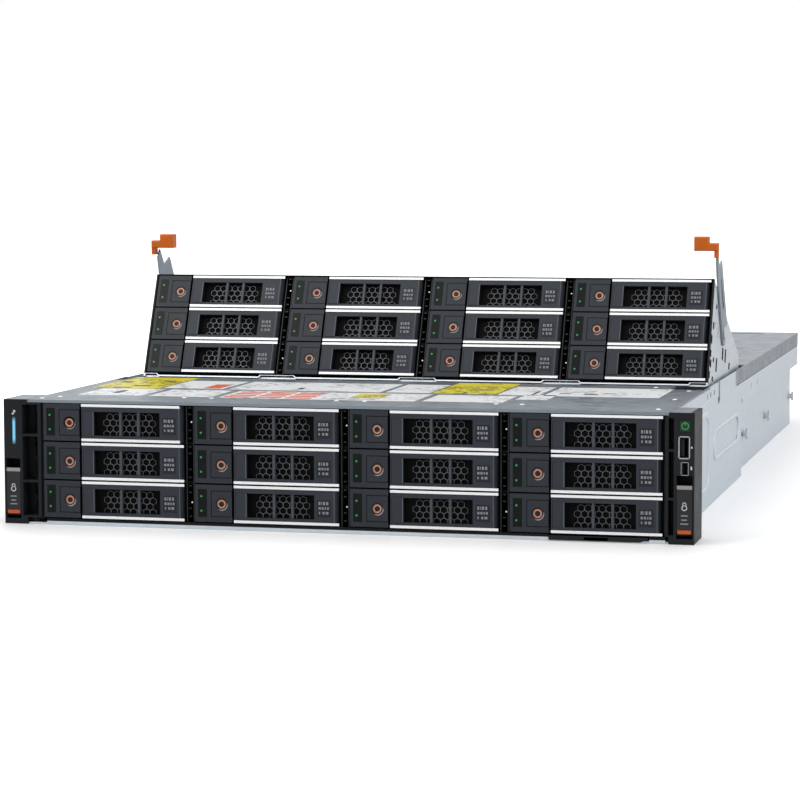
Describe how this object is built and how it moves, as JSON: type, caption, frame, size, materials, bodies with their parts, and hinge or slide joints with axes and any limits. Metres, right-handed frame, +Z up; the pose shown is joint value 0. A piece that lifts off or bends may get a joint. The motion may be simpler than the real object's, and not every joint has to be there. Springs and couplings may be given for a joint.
{
  "type": "rack server",
  "caption": "Flat rack-mounted storage server: drive carriers across the front, a raised tilting bay of more carriers behind them, rack ears, sliding rear cover and rear supplies.",
  "frame": {"origin": "under the middle of the whole, on the plane of the base", "axes": "+Y from the front face to the rear, +Z up from the base, +X to the right as seen from the front"},
  "size_m": [0.482, 0.859, 0.1942],
  "materials": {
    "steel": "galvanised",
    "cover_steel": "galvanised, satin",
    "bay_steel": "galvanised",
    "cage_steel": "dark plated",
    "drive": "satin, dark",
    "latch_plastic": "fine grain",
    "copper_plastic": "satin",
    "ear_plastic": "fine grain",
    "lever_plastic": "satin",
    "button_plastic": "satin",
    "light_bar": "clear lens",
    "card_plastic": "satin",
    "grip_plastic": "satin",
    "arm_steel": "zinc plated",
    "stud_steel": "turned",
    "board": "lacquered",
    "sink_aluminium": "milled",
    "card_board": "lacquered",
    "fan_plastic": "fine grain",
    "rotor_plastic": "fine grain",
    "shroud_plastic": "fine grain",
    "supply_metal": "plated",
    "slot_steel": "stamped",
    "latch_blue": "satin"
  },
  "bodies": {
    "chassis": {"chassis_tray": "steel", "chassis_studs": "stud_steel", "front_drive_cage": "cage_steel", "front_cover": "cover_steel", "ear_left": "ear_plastic", "ear_right": "ear_plastic", "front_backplane": "board", "system_board": "board", "heat_sinks": "sink_aluminium", "memory_modules": "card_board", "air_shroud": "shroud_plastic", "fan_frames": "fan_plastic", "slot_covers": "slot_steel"},
    "mid_bay": {"mid_bay_cage": "bay_steel", "mid_backplane": "board"},
    "arm_left": {"lift_arm_left": "arm_steel", "lift_grip_left": "grip_plastic"},
    "arm_right": {"lift_arm_right": "arm_steel", "lift_grip_right": "grip_plastic"},
    "cover_rear": {"rear_cover": "cover_steel"},
    "latch_cover": {"cover_latch": "latch_blue"},
    "card": {"info_tag": "card_plastic"},
    "lever_left": {"release_lever_left": "lever_plastic"},
    "lever_right": {"release_lever_right": "lever_plastic"},
    "supply_left": {"psu_left": "supply_metal"},
    "supply_right": {"psu_right": "supply_metal"},
    "button_power": {"power_button": "button_plastic"},
    "button_id": {"id_button": "light_bar"},
    "latch_drive": {"drive_latch_handle": "latch_plastic"},
    "button_drive": {"drive_release_button": "copper_plastic"},
    "front_01": {"drive_front_01": "drive"},
    "mid_01": {"drive_mid_01": "drive"},
    "front_02": {"drive_front_02": "drive"},
    "mid_02": {"drive_mid_02": "drive"},
    "front_03": {"drive_front_03": "drive"},
    "mid_03": {"drive_mid_03": "drive"},
    "front_04": {"drive_front_04": "drive"},
    "mid_04": {"drive_mid_04": "drive"},
    "front_05": {"drive_front_05": "drive"},
    "mid_05": {"drive_mid_05": "drive"},
    "front_06": {"drive_front_06": "drive"},
    "mid_06": {"drive_mid_06": "drive"},
    "front_07": {"drive_front_07": "drive"},
    "mid_07": {"drive_mid_07": "drive"},
    "front_08": {"drive_front_08": "drive"},
    "mid_08": {"drive_mid_08": "drive"},
    "front_09": {"drive_front_09": "drive"},
    "mid_09": {"drive_mid_09": "drive"},
    "front_10": {"drive_front_10": "drive"},
    "mid_10": {"drive_mid_10": "drive"},
    "front_11": {"drive_front_11": "drive"},
    "mid_11": {"drive_mid_11": "drive"},
    "front_12": {"drive_front_12": "drive"},
    "mid_12": {"drive_mid_12": "drive"},
    "rotor_1": {"fan_rotor_1": "rotor_plastic"},
    "rotor_2": {"fan_rotor_2": "rotor_plastic"},
    "rotor_3": {"fan_rotor_3": "rotor_plastic"},
    "rotor_4": {"fan_rotor_4": "rotor_plastic"},
    "rotor_5": {"fan_rotor_5": "rotor_plastic"},
    "rotor_6": {"fan_rotor_6": "rotor_plastic"}
  },
  "joints": [
    {"name": "mid_bay_tilt", "type": "hinge", "parent": "chassis", "child": "mid_bay", "pos_m": [0, -0.0185, 0.0092], "axis": [-1, 0, 0], "range_deg": [-24, 0]},
    {"name": "lift_arm_left_fold", "type": "hinge", "parent": "mid_bay", "child": "arm_left", "pos_m": [-0.2173, -0.12647, 0.11999], "axis": [-1, 0, 0], "range_deg": [-32, 0]},
    {"name": "lift_arm_right_fold", "type": "hinge", "parent": "mid_bay", "child": "arm_right", "pos_m": [0.2208, -0.12647, 0.11999], "axis": [-1, 0, 0], "range_deg": [-32, 0]},
    {"name": "rear_cover_slide", "type": "slide", "parent": "chassis", "child": "cover_rear", "axis": [0, 1, 0], "range_m": [0, 0.01]},
    {"name": "cover_latch_lift", "type": "hinge", "parent": "cover_rear", "child": "latch_cover", "pos_m": [0, 0.1435, 0.0844], "axis": [-1, 0, 0], "range_deg": [0, 80]},
    {"name": "drive_front_01_slide", "type": "slide", "parent": "chassis", "child": "front_01", "axis": [0, -1, 0], "range_m": [0, 0.135]},
    {"name": "drive_latch_swing", "type": "hinge", "parent": "front_01", "child": "latch_drive", "pos_m": [-0.1126, -0.4223, 0.07145], "axis": [0, 0, 1], "range_deg": [0, 35]},
    {"name": "drive_release_press", "type": "slide", "parent": "front_01", "child": "button_drive", "axis": [0, 1, 0], "range_m": [0, 0.002], "stiffness_N_per_m": 400},
    {"name": "release_lever_left_pull", "type": "hinge", "parent": "chassis", "child": "lever_left", "pos_m": [-0.2345, -0.4249, 0.009], "axis": [1, 0, 0], "range_deg": [0, 40], "stiffness_Nm_per_rad": 0.05},
    {"name": "release_lever_right_pull", "type": "hinge", "parent": "chassis", "child": "lever_right", "pos_m": [0.2345, -0.4249, 0.009], "axis": [1, 0, 0], "range_deg": [0, 40], "stiffness_Nm_per_rad": 0.05},
    {"name": "info_card_pull", "type": "slide", "parent": "chassis", "child": "card", "axis": [0, -1, 0], "range_m": [0, 0.06]},
    {"name": "supply_left_slide", "type": "slide", "parent": "chassis", "child": "supply_left", "axis": [0, 1, 0], "range_m": [0, 0.19]},
    {"name": "supply_right_slide", "type": "slide", "parent": "chassis", "child": "supply_right", "axis": [0, 1, 0], "range_m": [0, 0.19]},
    {"name": "power_press", "type": "slide", "parent": "chassis", "child": "button_power", "axis": [0, 1, 0], "range_m": [0, 0.001], "stiffness_N_per_m": 400},
    {"name": "id_press", "type": "slide", "parent": "chassis", "child": "button_id", "axis": [0, 1, 0], "range_m": [0, 0.001], "stiffness_N_per_m": 400},
    {"name": "drive_mid_01_slide", "type": "slide", "parent": "mid_bay", "child": "mid_01", "axis": [0, -0.9135, 0.4067], "range_m": [0, 0.135]},
    {"name": "drive_front_02_slide", "type": "slide", "parent": "chassis", "child": "front_02", "axis": [0, -1, 0], "range_m": [0, 0.135]},
    {"name": "drive_front_03_slide", "type": "slide", "parent": "chassis", "child": "front_03", "axis": [0, -1, 0], "range_m": [0, 0.135]},
    {"name": "drive_front_04_slide", "type": "slide", "parent": "chassis", "child": "front_04", "axis": [0, -1, 0], "range_m": [0, 0.135]},
    {"name": "drive_front_05_slide", "type": "slide", "parent": "chassis", "child": "front_05", "axis": [0, -1, 0], "range_m": [0, 0.135]},
    {"name": "drive_front_06_slide", "type": "slide", "parent": "chassis", "child": "front_06", "axis": [0, -1, 0], "range_m": [0, 0.135]},
    {"name": "drive_front_07_slide", "type": "slide", "parent": "chassis", "child": "front_07", "axis": [0, -1, 0], "range_m": [0, 0.135]},
    {"name": "drive_front_08_slide", "type": "slide", "parent": "chassis", "child": "front_08", "axis": [0, -1, 0], "range_m": [0, 0.135]},
    {"name": "drive_front_09_slide", "type": "slide", "parent": "chassis", "child": "front_09", "axis": [0, -1, 0], "range_m": [0, 0.135]},
    {"name": "drive_front_10_slide", "type": "slide", "parent": "chassis", "child": "front_10", "axis": [0, -1, 0], "range_m": [0, 0.135]},
    {"name": "drive_front_11_slide", "type": "slide", "parent": "chassis", "child": "front_11", "axis": [0, -1, 0], "range_m": [0, 0.135]},
    {"name": "drive_front_12_slide", "type": "slide", "parent": "chassis", "child": "front_12", "axis": [0, -1, 0], "range_m": [0, 0.135]},
    {"name": "drive_mid_02_slide", "type": "slide", "parent": "mid_bay", "child": "mid_02", "axis": [0, -0.9135, 0.4067], "range_m": [0, 0.135]},
    {"name": "drive_mid_03_slide", "type": "slide", "parent": "mid_bay", "child": "mid_03", "axis": [0, -0.9135, 0.4067], "range_m": [0, 0.135]},
    {"name": "drive_mid_04_slide", "type": "slide", "parent": "mid_bay", "child": "mid_04", "axis": [0, -0.9135, 0.4067], "range_m": [0, 0.135]},
    {"name": "drive_mid_05_slide", "type": "slide", "parent": "mid_bay", "child": "mid_05", "axis": [0, -0.9135, 0.4067], "range_m": [0, 0.135]},
    {"name": "drive_mid_06_slide", "type": "slide", "parent": "mid_bay", "child": "mid_06", "axis": [0, -0.9135, 0.4067], "range_m": [0, 0.135]},
    {"name": "drive_mid_07_slide", "type": "slide", "parent": "mid_bay", "child": "mid_07", "axis": [0, -0.9135, 0.4067], "range_m": [0, 0.135]},
    {"name": "drive_mid_08_slide", "type": "slide", "parent": "mid_bay", "child": "mid_08", "axis": [0, -0.9135, 0.4067], "range_m": [0, 0.135]},
    {"name": "drive_mid_09_slide", "type": "slide", "parent": "mid_bay", "child": "mid_09", "axis": [0, -0.9135, 0.4067], "range_m": [0, 0.135]},
    {"name": "drive_mid_10_slide", "type": "slide", "parent": "mid_bay", "child": "mid_10", "axis": [0, -0.9135, 0.4067], "range_m": [0, 0.135]},
    {"name": "drive_mid_11_slide", "type": "slide", "parent": "mid_bay", "child": "mid_11", "axis": [0, -0.9135, 0.4067], "range_m": [0, 0.135]},
    {"name": "drive_mid_12_slide", "type": "slide", "parent": "mid_bay", "child": "mid_12", "axis": [0, -0.9135, 0.4067], "range_m": [0, 0.135]},
    {"name": "fan_1_spin", "type": "hinge", "parent": "chassis", "child": "rotor_1", "pos_m": [-0.17875, 0.0205, 0.0312], "axis": [0, 1, 0], "continuous": true},
    {"name": "fan_2_spin", "type": "hinge", "parent": "chassis", "child": "rotor_2", "pos_m": [-0.10725, 0.0205, 0.0312], "axis": [0, 1, 0], "continuous": true},
    {"name": "fan_3_spin", "type": "hinge", "parent": "chassis", "child": "rotor_3", "pos_m": [-0.03575, 0.0205, 0.0312], "axis": [0, 1, 0], "continuous": true},
    {"name": "fan_4_spin", "type": "hinge", "parent": "chassis", "child": "rotor_4", "pos_m": [0.03575, 0.0205, 0.0312], "axis": [0, 1, 0], "continuous": true},
    {"name": "fan_5_spin", "type": "hinge", "parent": "chassis", "child": "rotor_5", "pos_m": [0.10725, 0.0205, 0.0312], "axis": [0, 1, 0], "continuous": true},
    {"name": "fan_6_spin", "type": "hinge", "parent": "chassis", "child": "rotor_6", "pos_m": [0.17875, 0.0205, 0.0312], "axis": [0, 1, 0], "continuous": true}
  ],
  "couplings": [
    {"joint": "cover_latch_lift", "follows": "rear_cover_slide", "rad_per_m": 139.6}
  ]
}
